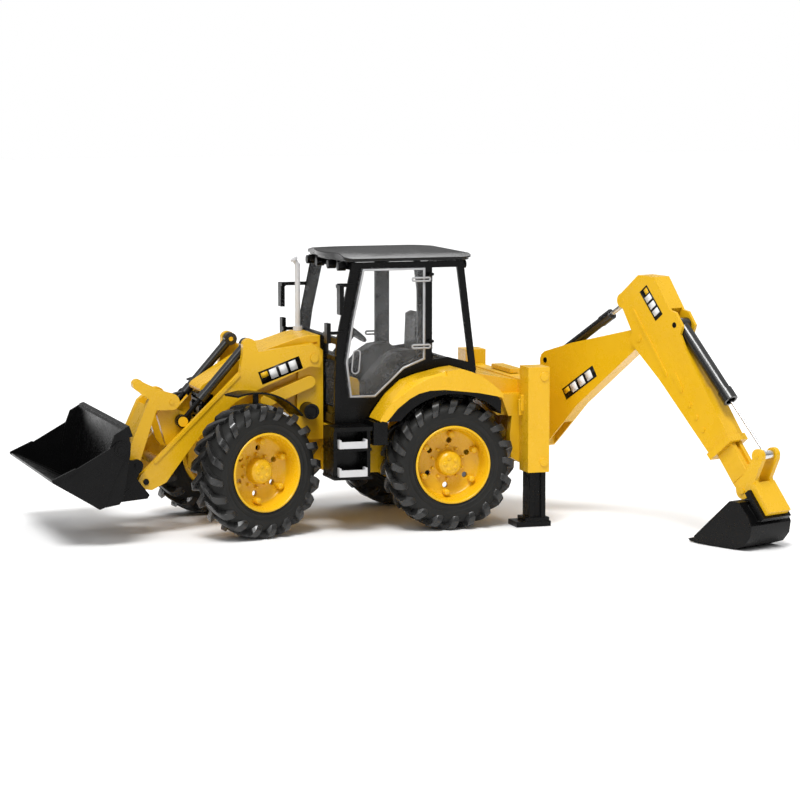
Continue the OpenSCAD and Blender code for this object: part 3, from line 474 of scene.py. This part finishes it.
def marking(name, body, matrix, length, height):
    """A dark panel with a yellow square and three plain pale bars: no lettering."""
    mesh, indices = ([], []), []

    def bar(x0, x1, y0, y1, z0, z1, index):
        add(mesh, *prism([(x0, y0), (x1, y0), (x1, y1), (x0, y1)], z0, z1), index, indices)

    bar(0, length, 0, height, -0.3, 0.12, 0)
    m = 0.14 * height
    bar(m, m + 0.16 * length, 0.45 * height, height - m, 0.0, 0.17, 2)
    start = m + 0.2 * length
    step = (length - m - start) / 3
    for i in range(3):
        bar(start + i * step, start + (i + 0.72) * step, m, height - m, 0.0, 0.17, 1)
    mats = [MATS["black_plastic"], PALE, MATS["yellow_paint"]]
    piece(name, *mesh, mats, body, "black_plastic", (), matrix, 0.0, indices)


PALE = plastic("pale_print", (0.78, 0.78, 0.77), (0.70, 0.70, 0.69), 0.45)
king = next(j for j in frame["joints"] if j["name"] == "backhoe_swing")["pos_m"]
SWING = math.radians(66)
ROW = Vector((-math.cos(SWING), math.sin(SWING), 0))
NEAR = Vector((math.sin(SWING), math.cos(SWING), 0))


def in_row(rho, z, out):
    """A point of the swung backhoe, in mm: rho out from the swing pin, z up, out towards its near side."""
    return Vector((king[0] / MM, king[1] / MM, z)) + ROW * rho + NEAR * out


# near and far faces of the loader arms
for tag, y in (("left", 31.5), ("right", -31.5)):
    if y > 0:
        m = basis((53.6, y, 99.6), (-0.941, 0, 0.338), (0.338, 0, 0.941))
    else:
        m = basis((25.0, y, 110.0), (0.941, 0, -0.338), (0.338, 0, 0.941))
    marking("arm_marking_" + tag, "lift_arms", m, 30.5, 9.0)

up = Vector((0, 0, 1))
u = (ROW * 0.843 + up * 0.538)
v = (ROW * -0.538 + up * 0.843)
marking("boom_marking_left", "boom_arm", basis(in_row(46.2, 83.2, 5.2), u, v), 35.0, 8.4)
marking("boom_marking_right", "boom_arm", basis(in_row(76.0, 102.2, -5.2), -u, v), 35.0, 8.4)
sa = math.radians(51)    # how steeply the stick hangs
down = ROW * math.cos(sa) - up * math.sin(sa)
over = ROW * math.sin(sa) + up * math.cos(sa)


def on_stick(s, t, out):
    """A point s down the stick and t above its axis, from its pivot."""
    return in_row(117 + s * math.cos(sa) + t * math.sin(sa), 131.3 - s * math.sin(sa) + t * math.cos(sa), out)


marking("stick_marking_left", "dipper", basis(on_stick(-24.0, 20.2, 7.3), down, over), 24.0, 8.2)
marking("stick_marking_right", "dipper", basis(on_stick(0.0, 20.2, -7.3), -down, over), 24.0, 8.2)

# ------------------------------------------------------------------ pin caps, and the painted highlights along the edges of the clear doors


def cap(name, body, origin, out, radius):
    verts, faces = lathe_stud((0.0, 0.0), radius, -0.4, 0.14, 24, 0.1)
    piece(name, verts, faces, [MATS["black_plastic"]], body, "black_plastic", (), basis(origin, ROW, out))


for tag, sign in (("left", 1), ("right", -1)):
    cap("boom_pin_cap_" + tag, "boom_arm", in_row(24.8, 109.4, sign * 5.4), NEAR * sign, 1.9)
    cap("stick_pin_cap_" + tag, "dipper", on_stick(12.0, 32.5, sign * 7.3), NEAR * sign, 1.9)

DOOR_OUTER = [(-1.4, 90.6), (1.5, 115), (-3, 143), (-10.8, 178.6), (-56, 178.6), (-56, 115.2), (-40.5, 109.2),
              (-31.5, 101), (-20, 90.4)]
DOOR_INNER = [(-3.6, 93), (-1, 115), (-5.4, 143), (-12.6, 176.2), (-53, 176.2), (-53, 117), (-39, 111.2),
              (-30.2, 103), (-19, 93)]
HANDLE, HINGE_Z = (-5.4, 110, -6.4, 121), (124.6, 170.4)
# pale grey bands round the clear doors' frames, handles and hinges: a painted highlight standing in for the light
# their raised edges catch
PAINTED_DOOR_HIGHLIGHT = plastic("door_highlight_paint", (0.42, 0.42, 0.43), (0.34, 0.34, 0.35), 0.22, 0.00001, spec=0.6)


def band(outer, inner, y0, y1):
    """A closed band between two outlines in the XZ plane, from y0 to y1."""
    n = len(outer)
    verts = [(x, y, z) for line in (outer, inner) for y in (y0, y1) for x, z in line]
    faces = []
    for i in range(n):
        j = (i + 1) % n
        faces += [(i, j, n + j, n + i), (n + i, n + j, 3 * n + j, 3 * n + i),
                  (3 * n + i, 3 * n + j, 2 * n + j, 2 * n + i), (2 * n + i, 2 * n + j, j, i)]
    return verts, faces


def between(a, b, t):
    return [(p[0] + (q[0] - p[0]) * t, p[1] + (q[1] - p[1]) * t) for p, q in zip(a, b)]


def stadium(x0, z0, x1, z1, radius, steps=10):
    """A round-ended outline about the line from (x0, z0) to (x1, z1)."""
    lean = math.atan2(z1 - z0, x1 - x0)
    ends = [(x1, z1, lean - math.pi / 2), (x0, z0, lean + math.pi / 2)]
    return [(x + radius * math.cos(a + math.pi * i / steps), z + radius * math.sin(a + math.pi * i / steps))
            for x, z, a in ends for i in range(steps + 1)]


door_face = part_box("door_l")[1][1] / MM
for tag, body, flip in (("left", "door_left", 1), ("right", "door_right", -1)):
    mesh = ([], [])
    rim_y = door_face - 1.1
    add(mesh, *band(between(DOOR_OUTER, DOOR_INNER, 0.2), between(DOOR_OUTER, DOOR_INNER, 0.75),
                    rim_y - 0.2, rim_y + 0.12))
    add(mesh, *band(stadium(*HANDLE, 2.9), stadium(*HANDLE, 2.1), door_face - 0.6, door_face + 0.05))
    for z in HINGE_Z:
        add(mesh, *band(stadium(-57.6, z, -47, z, 1.7), stadium(-57.6, z, -47, z, 0.5),
                        door_face - 0.4, door_face + 0.12))
    mirror = Matrix.Diagonal((1, flip, 1, 1))
    # each door's pale bands are a painted highlight, not a frosted finish
    piece("door_highlight_band_" + tag, *mesh, [PAINTED_DOOR_HIGHLIGHT], body, "clear_plastic", (), mirror)

# ------------------------------------------------------------------ inside the cab


def slab_piece(name, outline, y0, y1, mat, slot, width):
    """A rounded plate: an outline in the XZ plane from y0 to y1, riding on the machine."""
    verts, faces = prism(outline, y0, y1)
    verts = [(x, y, z) for x, z, y in verts]
    piece(name, verts, faces, [mat], "machine", slot, (), None, width)


CONSOLE = [(-56, 79.2), (-56, 118), (-52, 121), (-40, 119.4), (-33, 115), (-27, 108.6), (-9, 99), (-9, 79.2)]
slab_piece("console_right", CONSOLE, -35, -19, MATS["black_plastic"], "black_plastic", 1.6)
# the left one stops short, behind the pedal block
slab_piece("console_left", [(x if x < -20 else x - 9, z) for x, z in CONSOLE], 19, 35, MATS["black_plastic"],
           "black_plastic", 1.6)
PEDALS = [(-15.6, 79.2), (-15.6, 98.6), (-14, 101.5), (-6.4, 103), (-5, 101), (-5, 79.2)]
slab_piece("pedal_block", PEDALS, 18, 31, MATS["yellow_paint"], "yellow_paint", 0.9)

# ------------------------------------------------------------------ stage


def plane(name, size, location, mat):
    mesh = bpy.data.meshes.new(name)
    s = size / 2
    mesh.from_pydata([(-s, -s, 0), (s, -s, 0), (s, s, 0), (-s, s, 0)], [], [(0, 1, 2, 3)])
    o = bpy.data.objects.new(name, mesh)
    o.location = location
    scene.collection.objects.link(o)
    o.data.materials.append(mat)
    return o


floor_mat = Nodes("floor")
shade = floor_mat.mix(floor_mat.noise(4.0), (0.93, 0.93, 0.93), (0.91, 0.91, 0.912))
floor_mat.set(Base_Color=shade, Roughness=0.75)
plane("floor", 14.0, (0, 0, -0.0002), floor_mat.mat)

world = bpy.data.worlds.new("world")
scene.world = world
world.use_nodes = True
sky = world.node_tree
back = sky.nodes["Background"]
back.inputs["Color"].default_value = (1.0, 1.0, 1.0, 1.0)
# bright overhead and dim near the horizon, as under a softbox; plain white where the camera sees it
height = sky.nodes.new("ShaderNodeSeparateXYZ")
sky.links.new(sky.nodes.new("ShaderNodeTexCoord").outputs["Generated"], height.inputs[0])
glow = sky.nodes.new("ShaderNodeMapRange")
glow.interpolation_type = "SMOOTHSTEP"
for key, value in (("From Min", -0.1), ("From Max", 0.95), ("To Min", 0.10), ("To Max", 0.85)):
    glow.inputs[key].default_value = value
sky.links.new(height.outputs["Z"], glow.inputs["Value"])
path = sky.nodes.new("ShaderNodeLightPath")
seen = sky.nodes.new("ShaderNodeMath")
seen.operation = "MAXIMUM"
sky.links.new(path.outputs["Is Camera Ray"], seen.inputs[0])
sky.links.new(path.outputs["Is Transmission Ray"], seen.inputs[1])
level = sky.nodes.new("ShaderNodeMix")
sky.links.new(seen.outputs[0], level.inputs["Factor"])
sky.links.new(glow.outputs["Result"], level.inputs["A"])
level.inputs["B"].default_value = 1.0
sky.links.new(level.outputs["Result"], back.inputs["Strength"])


def area(name, location, target, size, power, colour=(1, 1, 1)):
    data = bpy.data.lights.new(name, "AREA")
    data.shape, data.size, data.size_y = "RECTANGLE", size[0], size[1]
    data.energy, data.color = power, colour
    o = bpy.data.objects.new(name, data)
    o.location = location
    o.rotation_euler = (Vector(target) - Vector(location)).to_track_quat("-Z", "Y").to_euler()
    scene.collection.objects.link(o)


key_data = bpy.data.lights.new("key", "SUN")
key_data.energy, key_data.angle = 2.5, math.radians(22)
key = bpy.data.objects.new("key", key_data)
key.rotation_euler = Vector((-0.45, -0.8, -1.65)).to_track_quat("-Z", "Y").to_euler()
scene.collection.objects.link(key)
area("fill", (1.0, 1.1, 0.9), (0, 0, 0.08), (0.3, 0.9), 3.5)
area("rim", (-0.6, -0.9, 1.0), (0, 0, 0.1), (0.8, 0.5), 4.0)
